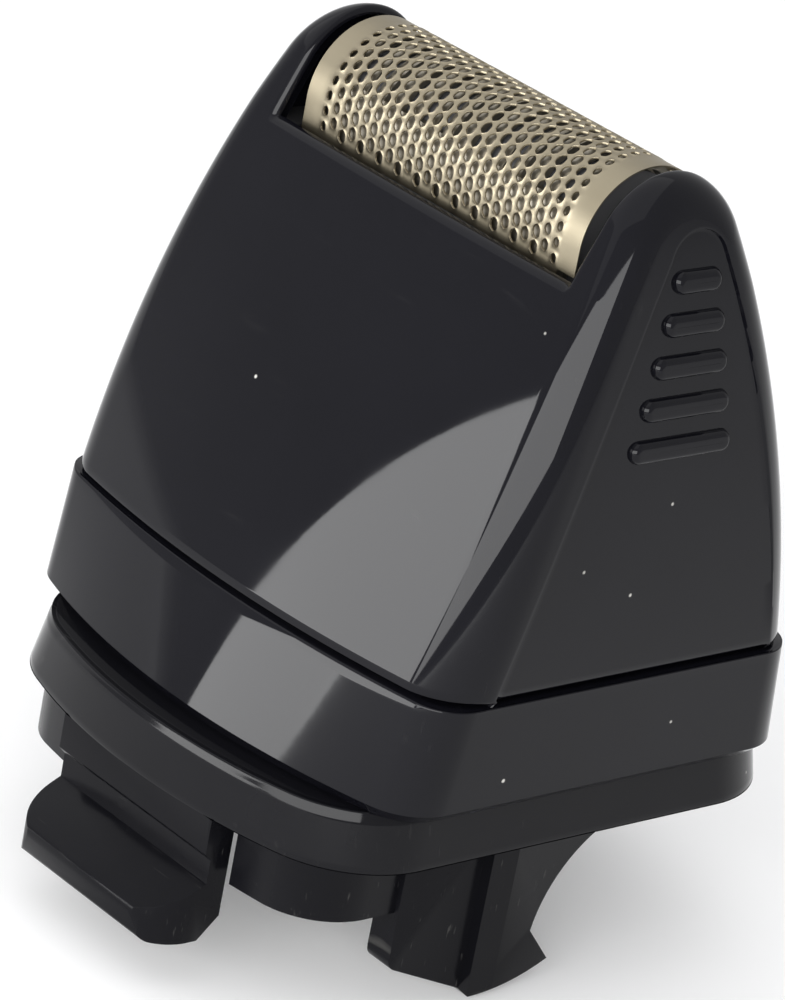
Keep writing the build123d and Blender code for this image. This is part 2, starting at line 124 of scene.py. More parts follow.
# Object at the origin that rides on a CAD body and takes one of the record's finishes
def addPiece(name, mesh, material, body, stoodFor=()):
    piece = bpy.data.objects.new(name, mesh)
    scene.collection.objects.link(piece)
    mesh.materials.clear()
    mesh.materials.append(material)
    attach(piece, body)
    if stoodFor:
        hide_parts(*stoodFor)
    return piece


# Welds points closer than a distance in metres and, unless told not to, turns every face outwards
def weld(mesh, distance=1e-6, outwards=True):
    bm = bmesh.new()
    bm.from_mesh(mesh)
    bmesh.ops.remove_doubles(bm, verts=bm.verts, dist=distance)
    bmesh.ops.dissolve_degenerate(bm, edges=bm.edges, dist=distance)
    if outwards:
        bmesh.ops.recalc_face_normals(bm, faces=bm.faces)
    bm.to_mesh(mesh)
    bm.free()


# Live bevel on the edges above an angle, its width in millimetres
def bevelEdges(piece, width, degrees):
    bevel = piece.modifiers.new("edges", "BEVEL")
    bevel.width = width * mm
    bevel.segments = 2
    bevel.limit_method = "ANGLE"
    bevel.angle_limit = math.radians(degrees)


# Puts the result of the live modifiers into the mesh and keeps edges crisp above an angle
def bakeModifiers(piece, crispDegrees):
    bpy.context.view_layer.update()
    evaluated = piece.evaluated_get(bpy.context.evaluated_depsgraph_get())
    finished = bpy.data.meshes.new_from_object(evaluated)
    finished.name = piece.data.name
    piece.modifiers.clear()
    piece.data = finished
    smoothMesh(finished, crispDegrees)


# Smooth shading with crisp edges above an angle
def smoothMesh(mesh, crispDegrees):
    mesh.polygons.foreach_set("use_smooth", np.ones(len(mesh.polygons), dtype=bool))
    mesh.set_sharp_from_angle(angle=math.radians(crispDegrees))
    mesh.update()


# Marks on moulded surfaces, with their scales per metre
surfaceMarks = {
    "blotchScale": 140, "streakTurn": (0.5, 0.9, 0.7), "streakScale": (160, 5200, 900),
    "streakRange": (0.68, 0.8), "speckScale": 520, "speckRange": (0.07, 0.03),
    "dustColour": (0.55, 0.54, 0.5),
}


# Node group that gives fine scratches, dust specks and slow blotches on Object coordinates
def surfaceWearGroup():
    look = surfaceMarks
    group = bpy.data.node_groups.new("surfaceWear", "ShaderNodeTree")
    for name, kind in (("Vector", "NodeSocketVector"), ("Speck Share", "NodeSocketFloat")):
        group.interface.new_socket(name, in_out="INPUT", socket_type=kind)
    for name in ("Blotch", "Scratch", "Speck"):
        group.interface.new_socket(name, in_out="OUTPUT", socket_type="NodeSocketFloat")
    nodes, links = group.nodes, group.links
    enter = nodes.new("NodeGroupInput")
    leave = nodes.new("NodeGroupOutput")

    blotch = nodes.new("ShaderNodeTexNoise")
    blotch.inputs["Scale"].default_value = look["blotchScale"]
    blotch.inputs["Detail"].default_value = 5
    links.new(enter.outputs["Vector"], blotch.inputs["Vector"])
    links.new(blotch.outputs["Fac"], leave.inputs["Blotch"])

    turn = nodes.new("ShaderNodeMapping")
    turn.inputs["Rotation"].default_value = look["streakTurn"]
    turn.inputs["Scale"].default_value = look["streakScale"]
    links.new(enter.outputs["Vector"], turn.inputs["Vector"])
    streak = nodes.new("ShaderNodeTexNoise")
    streak.inputs["Scale"].default_value = 1
    streak.inputs["Detail"].default_value = 2
    links.new(turn.outputs["Vector"], streak.inputs["Vector"])
    line = nodes.new("ShaderNodeMapRange")
    line.inputs["From Min"].default_value = look["streakRange"][0]
    line.inputs["From Max"].default_value = look["streakRange"][1]
    links.new(streak.outputs["Fac"], line.inputs["Value"])
    links.new(line.outputs["Result"], leave.inputs["Scratch"])

    cells = nodes.new("ShaderNodeTexVoronoi")
    cells.inputs["Scale"].default_value = look["speckScale"]
    links.new(enter.outputs["Vector"], cells.inputs["Vector"])
    shade = nodes.new("ShaderNodeSeparateColor")
    links.new(cells.outputs["Color"], shade.inputs["Color"])
    chosen = nodes.new("ShaderNodeMath")
    chosen.operation = "LESS_THAN"
    links.new(shade.outputs["Red"], chosen.inputs[0])
    links.new(enter.outputs["Speck Share"], chosen.inputs[1])
    near = nodes.new("ShaderNodeMapRange")
    near.inputs["From Min"].default_value = look["speckRange"][0]
    near.inputs["From Max"].default_value = look["speckRange"][1]
    links.new(cells.outputs["Distance"], near.inputs["Value"])
    speck = nodes.new("ShaderNodeMath")
    speck.operation = "MULTIPLY"
    links.new(chosen.outputs["Value"], speck.inputs[0])
    links.new(near.outputs["Result"], speck.inputs[1])
    links.new(speck.outputs["Value"], leave.inputs["Speck"])
    return group


surfaceWear = surfaceWearGroup()


# Moulded plastic: colour with dust specks, roughness from blotches and scratches, fine bump
def plasticMaterial(look):
    material = bpy.data.materials.new(look["name"])
    material.use_nodes = True
    nodes, links = material.node_tree.nodes, material.node_tree.links
    shader = nodes["Principled BSDF"]
    shader.inputs["Specular IOR Level"].default_value = look["specular"]
    shader.inputs["IOR"].default_value = 1.5
    place = nodes.new("ShaderNodeTexCoord")
    wear = nodes.new("ShaderNodeGroup")
    wear.node_tree = surfaceWear
    wear.inputs["Speck Share"].default_value = look["specks"]
    links.new(place.outputs["Object"], wear.inputs["Vector"])

    tone = nodes.new("ShaderNodeMix")
    tone.data_type = "RGBA"
    tone.inputs["A"].default_value = (*look["colour"], 1)
    tone.inputs["B"].default_value = (*look["pale"], 1)
    links.new(wear.outputs["Blotch"], tone.inputs["Factor"])
    dusty = nodes.new("ShaderNodeMix")
    dusty.data_type = "RGBA"
    dusty.inputs["B"].default_value = (*surfaceMarks["dustColour"], 1)
    links.new(tone.outputs["Result"], dusty.inputs["A"])
    marks = nodes.new("ShaderNodeMath")
    marks.operation = "MULTIPLY_ADD"
    marks.use_clamp = True
    marks.inputs[1].default_value = look["scratchTint"]
    links.new(wear.outputs["Scratch"], marks.inputs[0])
    links.new(wear.outputs["Speck"], marks.inputs[2])
    links.new(marks.outputs["Value"], dusty.inputs["Factor"])
    links.new(dusty.outputs["Result"], shader.inputs["Base Color"])

    rough = nodes.new("ShaderNodeMapRange")
    rough.inputs["From Min"].default_value = 0.3
    rough.inputs["From Max"].default_value = 0.7
    rough.inputs["To Min"].default_value = look["roughness"][0]
    rough.inputs["To Max"].default_value = look["roughness"][1]
    links.new(wear.outputs["Blotch"], rough.inputs["Value"])
    scuffed = nodes.new("ShaderNodeMath")
    scuffed.operation = "MULTIPLY_ADD"
    scuffed.inputs[1].default_value = look["scuff"]
    links.new(wear.outputs["Scratch"], scuffed.inputs[0])
    links.new(rough.outputs["Result"], scuffed.inputs[2])
    links.new(scuffed.outputs["Value"], shader.inputs["Roughness"])

    grain = nodes.new("ShaderNodeTexNoise")
    grain.inputs["Scale"].default_value = look["grain"]
    grain.inputs["Detail"].default_value = 3
    links.new(place.outputs["Object"], grain.inputs["Vector"])
    bump = nodes.new("ShaderNodeBump")
    bump.inputs["Strength"].default_value = look["bump"]
    bump.inputs["Distance"].default_value = 0.02 * mm
    links.new(grain.outputs["Fac"], bump.inputs["Height"])
    links.new(bump.outputs["Normal"], shader.inputs["Normal"])
    return material


# Metal: tint with stains, roughness drawn out along one axis
def metalMaterial(look):
    material = bpy.data.materials.new(look["name"])
    material.use_nodes = True
    nodes, links = material.node_tree.nodes, material.node_tree.links
    shader = nodes["Principled BSDF"]
    shader.inputs["Metallic"].default_value = 1
    place = nodes.new("ShaderNodeTexCoord")
    stain = nodes.new("ShaderNodeTexNoise")
    stain.inputs["Scale"].default_value = look["stainScale"]
    stain.inputs["Detail"].default_value = 4
    links.new(place.outputs["Object"], stain.inputs["Vector"])
    tint = nodes.new("ShaderNodeMix")
    tint.data_type = "RGBA"
    tint.inputs["A"].default_value = (*look["colour"], 1)
    tint.inputs["B"].default_value = (*look["stain"], 1)
    links.new(stain.outputs["Fac"], tint.inputs["Factor"])
    links.new(tint.outputs["Result"], shader.inputs["Base Color"])

    drawn = nodes.new("ShaderNodeMapping")
    drawn.inputs["Scale"].default_value = look["brush"]
    links.new(place.outputs["Object"], drawn.inputs["Vector"])
    lines = nodes.new("ShaderNodeTexNoise")
    lines.inputs["Scale"].default_value = 1
    lines.inputs["Detail"].default_value = 3
    links.new(drawn.outputs["Vector"], lines.inputs["Vector"])
    rough = nodes.new("ShaderNodeMapRange")
    rough.inputs["To Min"].default_value = look["roughness"][0]
    rough.inputs["To Max"].default_value = look["roughness"][1]
    links.new(lines.outputs["Fac"], rough.inputs["Value"])
    links.new(rough.outputs["Result"], shader.inputs["Roughness"])
    bump = nodes.new("ShaderNodeBump")
    bump.inputs["Strength"].default_value = look["bump"]
    bump.inputs["Distance"].default_value = 0.01 * mm
    links.new(lines.outputs["Fac"], bump.inputs["Height"])
    links.new(bump.outputs["Normal"], shader.inputs["Normal"])
    return material


# Finishes by the record's slot names, and skirt_gloss for the polished band of the satin base
finishes = {
    "gloss_black": plasticMaterial({
        "name": "glossBlack", "colour": (0.003, 0.003, 0.0045), "pale": (0.005, 0.005, 0.007),
        "specular": 0.2, "specks": 0.03, "roughness": (0.02, 0.05), "scuff": 0.05, "scratchTint": 0.006,
        "grain": 900, "bump": 0.02}),
    "skirt_gloss": plasticMaterial({
        "name": "skirtGloss", "colour": (0.003, 0.003, 0.004), "pale": (0.006, 0.006, 0.0075),
        "specular": 0.17, "specks": 0.04, "roughness": (0.06, 0.12), "scuff": 0.1, "scratchTint": 0.015,
        "grain": 1200, "bump": 0.03}),
    "satin_black": plasticMaterial({
        "name": "satinBlack", "colour": (0.0025, 0.0025, 0.0035), "pale": (0.006, 0.006, 0.0075),
        "specular": 0.1, "specks": 0.05, "roughness": (0.14, 0.28), "scuff": 0.2, "scratchTint": 0.06,
        "grain": 2600, "bump": 0.12}),
    "frame_black": plasticMaterial({
        "name": "frameBlack", "colour": (0.016, 0.016, 0.017), "pale": (0.026, 0.026, 0.027),
        "specular": 0.35, "specks": 0.01, "roughness": (0.4, 0.55), "scuff": 0.1, "scratchTint": 0.02,
        "grain": 3000, "bump": 0.2}),
    "carrier_grey": plasticMaterial({
        "name": "carrierGrey", "colour": (0.1, 0.1, 0.105), "pale": (0.14, 0.14, 0.145),
        "specular": 0.4, "specks": 0.02, "roughness": (0.38, 0.5), "scuff": 0.1, "scratchTint": 0.02,
        "grain": 3000, "bump": 0.2}),
    "bridge_white": plasticMaterial({
        "name": "bridgeWhite", "colour": (0.72, 0.71, 0.66), "pale": (0.8, 0.79, 0.75),
        "specular": 0.45, "specks": 0.0, "roughness": (0.34, 0.46), "scuff": 0.1, "scratchTint": 0.02,
        "grain": 2400, "bump": 0.15}),
    "foil_nickel": metalMaterial({
        "name": "foilNickel", "colour": (0.31, 0.27, 0.19), "stain": (0.385, 0.34, 0.25), "stainScale": 260,
        "roughness": (0.36, 0.52), "brush": (400, 3000, 3000), "bump": 0.15}),
    "cutter_steel": metalMaterial({
        "name": "cutterSteel", "colour": (0.31, 0.285, 0.235), "stain": (0.4, 0.37, 0.31),
        "stainScale": 400, "roughness": (0.3, 0.5), "brush": (6000, 700, 700), "bump": 0.25}),
    "spring_steel": metalMaterial({
        "name": "springSteel", "colour": (0.5, 0.5, 0.5), "stain": (0.6, 0.6, 0.6), "stainScale": 500,
        "roughness": (0.25, 0.4), "brush": (900, 900, 9000), "bump": 0.15}),
    "rod_steel": metalMaterial({
        "name": "rodSteel", "colour": (0.66, 0.66, 0.68), "stain": (0.72, 0.72, 0.74), "stainScale": 300,
        "roughness": (0.12, 0.25), "brush": (200, 5000, 5000), "bump": 0.1}),
    "screw_steel": metalMaterial({
        "name": "screwSteel", "colour": (0.5, 0.5, 0.51), "stain": (0.62, 0.61, 0.58), "stainScale": 700,
        "roughness": (0.25, 0.4), "brush": (2500, 2500, 900), "bump": 0.2}),
}
for subpart in frame["record"]["subparts"]:
    node = frame["nodes"][subpart["node"]]
    node.data.materials.clear()
    node.data.materials.append(finishes[subpart["material_slot"]])
print("materials:", len(finishes))

# Foil housing: sizes in millimetres, angles in degrees, then shares and numbers of steps
headShell = {
    "bulge": 1.7, "crownRise": 0.15, "flankRadius": 120.0, "edgeRadius": (2.8, 1.7), "uprightRise": 4.0,
    "cheekWidth": 1.9, "endGap": 0.8, "windowDrop": 1.2, "panelMargin": 2.3, "panelShift": 0.6,
    "panelDepth": 0.2, "stepWidth": 0.08, "footRound": 0.14, "lipRound": 0.4, "wall": 1.25, "lipShare": 0.6,
    "edgeBevel": 0.06, "bevelDegrees": 62, "crispDegrees": 34, "lipReach": 3.0, "lipMargin": 0.02,
    "panelTopDrop": 0.8, "panelEase": 0.9, "footShare": 0.3, "fitPasses": 6, "fineShare": 0.09,
    "rowSteps": (62, 8, 13, 34), "columnSteps": (36, 9, 31, 22),
}
headBase = housingLow[2]
headHalfWidth = housingHigh[0]
headHalfDepth = housingHigh[1] - headShell["bulge"]
crownRadius = foilRadius + headShell["crownRise"]
headTop = foilAxis + crownRadius
windowHalf = foilHalfLength + headShell["endGap"]
windowBottom = foilAxis - headShell["windowDrop"]
uprightHeight = headBase + headShell["uprightRise"]


# Half width at a height: an arc, upright at uprightHeight, that leans in to the cheeks at the top
def sideX(z):
    rise = headTop - uprightHeight
    lean = headHalfWidth - windowHalf - headShell["cheekWidth"]
    radius = (rise**2 + lean**2) / (2 * lean)
    return headHalfWidth - radius + np.sqrt(radius**2 - (z - uprightHeight) ** 2)


# Half depth at the seam: a parabola over the width
def headDepth(x):
    return headHalfDepth + headShell["bulge"] * (1 - (x / headHalfWidth) ** 2)


# Centre of the flank arc that leaves the seam point and runs tangent into the crown
def flankCentre(halfDepth):
    toSeam = np.stack([halfDepth, np.full_like(halfDepth, headBase - foilAxis)], -1)
    length = np.linalg.norm(toSeam, axis=-1)
    reach = headShell["flankRadius"] - crownRadius
    along = (reach**2 - headShell["flankRadius"] ** 2 + length**2) / (2 * length)
    across = np.sqrt(reach**2 - along**2)
    direction = toSeam / length[..., None]
    turned = np.stack([direction[..., 1], -direction[..., 0]], -1)
    centre = direction * along[..., None] + turned * across[..., None]
    return centre[..., 0], centre[..., 1] + foilAxis


# Point of the arch for a row: flank arc by height up to the window, flank arc by angle up to the
# shoulder, then the crown arc, all moved inwards by inset. The slope is that of the normal.
def archPoint(row, halfDepth, inset):
    centreY, centreZ = flankCentre(halfDepth)
    flank = headShell["flankRadius"] - inset
    shoulder = np.arctan2(foilAxis - centreZ, -centreY)
    low = headBase + np.clip(row, 0, 1) * (windowBottom - headBase)
    atWindow = np.arcsin((low - centreZ) / flank)
    swing = atWindow + np.clip(row - 1, 0, 1) * (shoulder - atWindow)
    turn = shoulder + np.clip(row - 2, 0, 1) * (math.pi / 2 - shoulder)
    onCrown = row > 2
    y = np.where(onCrown, (crownRadius - inset) * np.cos(turn), centreY + flank * np.cos(swing))
    z = np.where(onCrown, foilAxis + (crownRadius - inset) * np.sin(turn), centreZ + flank * np.sin(swing))
    return y, z, np.where(onCrown, turn, swing)


# Inset of the rounded lip: a quarter circle over the distance to the window
def lipInset(x, z):
    radius = headShell["lipRound"]
    away = np.hypot((x - windowHalf).clip(0), (windowBottom - z).clip(0))
    return radius - np.sqrt(radius**2 - (radius - away).clip(0) ** 2)


# Quarter of the head on the front (side -1) or the back (side 1). Rows go up the arch: 0 to 1 up to the
# window, to 2 up to the shoulder and to 3 up to the crown. Columns go from the middle of the width over
# the rounded edge to the middle line of the side panel.
def headQuarter(side):
    look = headShell
    tall = windowBottom - headBase
    foot, lip = look["footRound"] / tall, 1 - look["lipRound"] / tall
    flankSteps, lipSteps, shoulderSteps, crownSteps = look["rowSteps"]
    middleSteps, fineSteps, edgeSteps, panelSteps = look["columnSteps"]
    fine = look["fineShare"]
    rows = np.concatenate([[0, foot * look["footShare"], foot], np.linspace(foot, lip, flankSteps)[1:],
                           np.linspace(lip, 1, lipSteps)[1:], 1 + np.linspace(0, 1, shoulderSteps)[1:],
                           2 + np.linspace(0, 1, crownSteps)[1:]])
    footInset = np.zeros_like(rows)
    footInset[:2] = (look["footRound"], look["footRound"] * look["footShare"])
    middle = np.linspace(0, 1, middleSteps)
    edge = np.concatenate([np.linspace(0, fine, fineSteps)[1:], np.linspace(fine, 1, edgeSteps)[1:]])
    inner = np.linspace(0, 1, panelSteps)[1:] ** look["panelEase"]
    edgeStart, stepAt = len(middle), len(middle) + len(edge)
    row = np.repeat(rows[:, None], stepAt + 1 + len(inner), 1)
    inset = np.zeros_like(row)
    halfDepth = np.full_like(row, headHalfDepth)
    x = np.zeros_like(row)
    lipped = np.zeros_like(row)
    for _ in range(look["fitPasses"]):
        y, z, slope = archPoint(row, halfDepth, inset + lipped)
        wide = sideX(z)
        radius = np.interp(z[:, edgeStart:stepAt], (headBase, windowBottom), look["edgeRadius"])
        margin = look["panelMargin"] - side * look["panelShift"] * np.cos(slope)
        x[:, :edgeStart] = windowHalf * middle
        start = wide[:, edgeStart:stepAt] - radius
        straight = (start - windowHalf).clip(0)
        first = np.arcsin(np.clip((windowHalf - start) / radius, 0, 1))
        room = margin[:, edgeStart:stepAt]
        last = np.arccos(np.clip(1 - room / radius, 0, 1))
        flat = (room - radius).clip(0)
        travel = edge * (straight + radius * (last - first) + flat)
        turn = np.clip(first + (travel - straight) / radius, first, last)
        rounded = start + radius * np.sin(turn)
        x[:, edgeStart:stepAt] = np.where(travel < straight, windowHalf + travel, rounded)
        beyond = (travel - straight - radius * (last - first)).clip(0)
        inset[:, edgeStart:stepAt] = np.where(travel < straight, 0, radius * (1 - np.cos(turn)) + beyond)
        inset[:, stepAt:] = margin[:, stepAt:] + look["stepWidth"]
        x[:, stepAt:] = wide[:, stepAt:] - look["panelDepth"]
        lipped = lipInset(x, z)
        halfDepth = headDepth(np.minimum(x, headHalfWidth))
    # foot rounding, and the panel drawn together towards its middle line
    y -= footInset[:, None]
    share = np.concatenate([np.zeros(stepAt + 1), inner])
    z += (np.minimum(z, foilAxis - look["panelTopDrop"]) - z) * share
    y = side * y * (1 - share) + look["panelShift"] * share
    x[:, stepAt:] = sideX(z[:, stepAt:]) - look["panelDepth"] - footInset[:, None]
    return rows, edgeStart, np.stack([x, y, z], -1)


# Front and back quarter joined over the crown and mirrored over the width, without the faces in the window.
# A wall is then grown inwards from that skin, thinner below the window's lip.
def foilHousing():
    rows, edgeStart, front = headQuarter(-1)
    back = headQuarter(1)[2]
    width = front.shape[1]
    quarters = np.concatenate([front, back[-2::-1]], 0)
    whole = np.concatenate([quarters[:, :0:-1] * (-1, 1, 1), quarters], 1)
    level = np.concatenate([rows, rows[-2::-1]])
    count = whole.shape[1]
    quads = gridQuads(*whole.shape[:2])
    inWindow = (level[quads // count] >= 1 - 1e-9).all(1)
    acrossWindow = (np.abs(quads % count - (width - 1)) < edgeStart).all(1)
    quads = quads[~(inWindow & acrossWindow)]
    mesh = meshFromArrays("housingShell", whole.reshape(-1, 3), quads)
    weld(mesh, 2e-6)
    piece = addPiece("housingShell", mesh, finishes["gloss_black"], "foil_head",
                     ["foil_housing"])
    thinning = piece.vertex_groups.new(name="wallShare")
    places = meshPoints(mesh)
    underWindow = np.abs(places[:, 0]) < windowHalf + headShell["lipMargin"]
    nearLip = underWindow & (places[:, 2] > windowBottom - headShell["lipReach"])
    thinning.add(np.nonzero(~nearLip)[0].tolist(), 1.0, "REPLACE")
    thinning.add(np.nonzero(nearLip)[0].tolist(), headShell["lipShare"], "REPLACE")
    wall = piece.modifiers.new("wall", "SOLIDIFY")
    wall.thickness = headShell["wall"] * mm
    wall.offset = -1
    wall.vertex_group = "wallShare"
    wall.thickness_vertex_group = 0.0
    bevelEdges(piece, headShell["edgeBevel"], headShell["bevelDegrees"])
    bakeModifiers(piece, headShell["crispDegrees"])
    return piece


housingPiece = foilHousing()
print("housing:", len(housingPiece.data.polygons), "faces")

# Finger ribs on both side panels, in millimetres
fingerRibs = {
    "count": 5, "topDrop": 0.5, "pitch": 2.06, "width": 1.2, "raise": 0.45, "shortest": 3.1, "step": 0.87,
    "round": 0.34, "sink": 0.06, "around": 48, "tip": 0.005, "crispDegrees": 60,
    "inward": (0, 0.02, 0.06, 0.12, 0.2, 0.27, 0.34, 0.42, 0.5),
}


# Pill: a stadium outline drawn inwards, its height a quarter circle over the rounded border
def ribPads():
    look = fingerRibs
    radius = look["width"] / 2
    around = np.linspace(0, 2 * math.pi, look["around"] + 1)[:-1] + math.pi / (2 * look["around"])
    inward = np.array([*look["inward"], radius - look["tip"]])
    reach = np.clip(1 - inward / look["round"], 0, 1)
    lift = look["raise"] * np.sqrt(1 - reach**2) - look["sink"]
    points, faces = [], []
    for number in range(look["count"]):
        middle = foilAxis - look["topDrop"] - number * look["pitch"]
        straight = (look["shortest"] + number * look["step"]) / 2 - radius
        y = np.sign(np.cos(around)) * straight + (radius - inward[:, None]) * np.cos(around)
        y += headShell["panelShift"]
        z = middle + (radius - inward[:, None]) * np.sin(around)
        x = sideX(z) - headShell["panelDepth"] + lift[:, None]
        ring = np.stack([x, y, z], -1)
        closed = np.concatenate([ring, ring[:, :1]], 1)
        for side in (1, -1):
            faces.append(gridQuads(*closed.shape[:2]) + sum(len(block) for block in points))
            points.append((closed * (side, 1, 1)).reshape(-1, 3))
    mesh = meshFromArrays("fingerRibs", np.concatenate(points), np.concatenate(faces))
    weld(mesh, 8e-6)
    addPiece("fingerRibs", mesh, finishes["gloss_black"], "foil_head")
    smoothMesh(mesh, look["crispDegrees"])


ribPads()
print("ribs:", fingerRibs["count"], "a side")

# Perforated foil, in millimetres along its length and along its arc
foilSheet = {
    "columns": 25, "pitch": 0.74, "rows": 19, "arcPitch": 0.82, "holeWidth": 0.6, "holeHeight": 0.74,
    "rimReach": 1.09, "rimCrest": 1.05, "rimRaise": 0.03, "rimShare": 0.8, "edgeBreak": 0.01,
    "thickness": 0.08, "cornerRound": 0.4, "roundSize": 0.95, "endShrink": (0.72, 0.86),
    "sideSteps": 6, "borderSteps": 5, "crispDegrees": 40,
}


# Place on the foil: x, distance along the arc from the crown, height over the sheet
def foilPoint(x, along, over):
    quarter = foilRadius * math.pi / 2
    turn = np.clip(along, -quarter, quarter) / foilRadius
    radius = foilRadius + over - foilSheet["rimRaise"]
    y = radius * np.sin(turn)
    z = foilAxis + radius * np.cos(turn) - (np.abs(along) - quarter).clip(0)
    return np.stack(np.broadcast_arrays(x, y, z), -1)


# Rounded six-sided outline in polar form: a hexagon about one unit tall, mixed with a circle
def holeOutline(angle):
    sector = np.mod(angle + math.pi / 6, math.pi / 3) - math.pi / 6
    hexagon = math.cos(math.pi / 6) / np.cos(sector)
    share = foilSheet["cornerRound"]
    return 0.5 * ((1 - share) * hexagon + share * foilSheet["roundSize"])


# One cell repeated over the field: rings from the cell's border over a raised rim, down through the hole
# and back to the border underneath. Plain strips fill the half cells, the borders and the ends.
def shavingFoil():
    look = foilSheet
    steps = look["sideSteps"]
    ramp = np.linspace(-0.5, 0.5, steps + 1)[:-1]
    ones = np.full(steps, 0.5)
    square = np.concatenate([np.stack(side, -1) for side in (
        (ramp, -ones), (ones, ramp), (-ramp, ones), (-ones, -ramp))])
    angle = np.arctan2(square[:, 1], square[:, 0])
    hole = holeOutline(angle)[:, None] * np.stack([np.cos(angle), np.sin(angle)], -1)
    hole = hole * (look["holeWidth"], look["holeHeight"])
    tile = square * (look["pitch"], look["arcPitch"])
    rings = np.stack([tile, hole * look["rimReach"], hole * look["rimCrest"], hole, hole, tile], 0)
    under = -look["thickness"]
    raised = look["rimRaise"]
    over = np.array([0, raised * look["rimShare"], raised, look["edgeBreak"], under, under])
    ringCount, around = rings.shape[:2]
    closedIndex = np.arange(ringCount * around).reshape(ringCount, around)
    closedIndex = np.concatenate([closedIndex, closedIndex[:, :1]], 1)
    cellQuads = quadsBetween(closedIndex)

    column, line = np.meshgrid(np.arange(look["columns"]), np.arange(look["rows"]), indexing="ij")
    odd = column % 2
    used = ~((odd == 1) & (line == look["rows"] - 1))
    centreX = (column - (look["columns"] - 1) / 2) * look["pitch"]
    centreS = (line - (look["rows"] - 1) / 2 + 0.5 * odd) * look["arcPitch"]
    # holes get smaller in the last two columns at each end
    fromEnd = np.minimum(column, look["columns"] - 1 - column)
    last, nextToLast = look["endShrink"]
    shrink = np.where(fromEnd == 0, last, np.where(fromEnd == 1, nextToLast, 1.0))[used]
    sizes = np.ones((used.sum(), ringCount, 1, 1))
    sizes[:, 1:5] = shrink[:, None, None, None]
    flat = rings[None] * sizes + np.stack([centreX[used], centreS[used]], -1)[:, None, None, :]
    cells = foilPoint(flat[..., 0], flat[..., 1], over[None, :, None])
    blocks = [cells.reshape(-1, 3)]
    faces = [(cellQuads[None] + (np.arange(len(cells)) * ringCount * around)[:, None, None]).reshape(-1, 4)]

    def patch(xs, ss, heights):
        grid = foilPoint(*np.broadcast_arrays(xs, ss, heights))
        faces.append(gridQuads(*grid.shape[:2]) + sum(len(block) for block in blocks))
        blocks.append(grid.reshape(-1, 3))

    halfField = look["rows"] * look["arcPitch"] / 2
    halfWidth = look["columns"] * look["pitch"] / 2
    legEnd = foilRadius * math.pi / 2 + foilAxis - foilLow[2]
    field = np.linspace(-halfField, halfField, look["rows"] * steps + 1)
    wide = np.linspace(-halfWidth, halfWidth, look["columns"] * steps + 1)
    for height in (0, under):
        for side in (-1, 1):
            border = side * np.linspace(halfWidth, foilHalfLength, look["borderSteps"])
            patch(border[None, :], field[:, None], height)
            leg = side * np.linspace(halfField, legEnd, look["borderSteps"])
            patch(wide[None, :], leg[:, None], height)
            patch(border[None, :], leg[:, None], height)
            for number in range(1, look["columns"], 2):
                start = (number - look["columns"] / 2) * look["pitch"]
                xs = np.linspace(start, start + look["pitch"], steps + 1)
                ss = side * np.linspace(halfField - look["arcPitch"] / 2, halfField, steps // 2 + 1)
                patch(xs[None, :], ss[:, None], height)
    rim = np.concatenate([-leg[::-1], field[1:-1], leg])[:, None]
    for side in (-1, 1):
        patch(np.full_like(rim, side * foilHalfLength), rim, np.array([[0, under]]))
    mesh = meshFromArrays("foilSheet", np.concatenate(blocks), np.concatenate(faces))
    weld(mesh, 1.5e-6)
    piece = addPiece("foilSheet", mesh, finishes["foil_nickel"], "foil_head",
                     ["shaving_foil"])
    smoothMesh(mesh, look["crispDegrees"])
    return piece


foilPiece = shavingFoil()
print("foil:", len(foilPiece.data.polygons), "faces")

# Springs under the cutter carrier: wire radius in millimetres, number of turns and of steps
carrierSprings = {"wire": 0.19, "turns": 3.5, "steps": 168, "around": 10, "crispDegrees": 50}


# Round wire carried up a helix between the ends of the CAD spring, drawn to a point at both ends
def carrierSpring(node, name):
    look = carrierSprings
    low, high = nodeBox(node)
    middle = (low + high) / 2
    share = np.concatenate([[0], np.linspace(0, 1, look["steps"]), [1]])[:, None]
    wire = np.full_like(share, look["wire"])
    wire[[0, -1]] = 0
    section = np.linspace(0, 2 * math.pi, look["around"] + 1)
    turn = share * 2 * math.pi * look["turns"]
    out = high[0] - middle[0] - look["wire"] + wire * np.cos(section)
    height = high[2] - low[2] - 2 * look["wire"]
    grid = np.stack([middle[0] + out * np.cos(turn), middle[1] + out * np.sin(turn),
                     low[2] + look["wire"] + share * height + wire * np.sin(section)], -1)
    mesh = meshFromArrays(name, grid.reshape(-1, 3), gridQuads(*grid.shape[:2]))
    weld(mesh)
    piece = addPiece(name, mesh, finishes["spring_steel"], "drive", [node])
    smoothMesh(mesh, look["crispDegrees"])
    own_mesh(piece)


carrierSpring("carrier_spring_left", "springLeft")
carrierSpring("carrier_spring_right", "springRight")
print("springs ready")

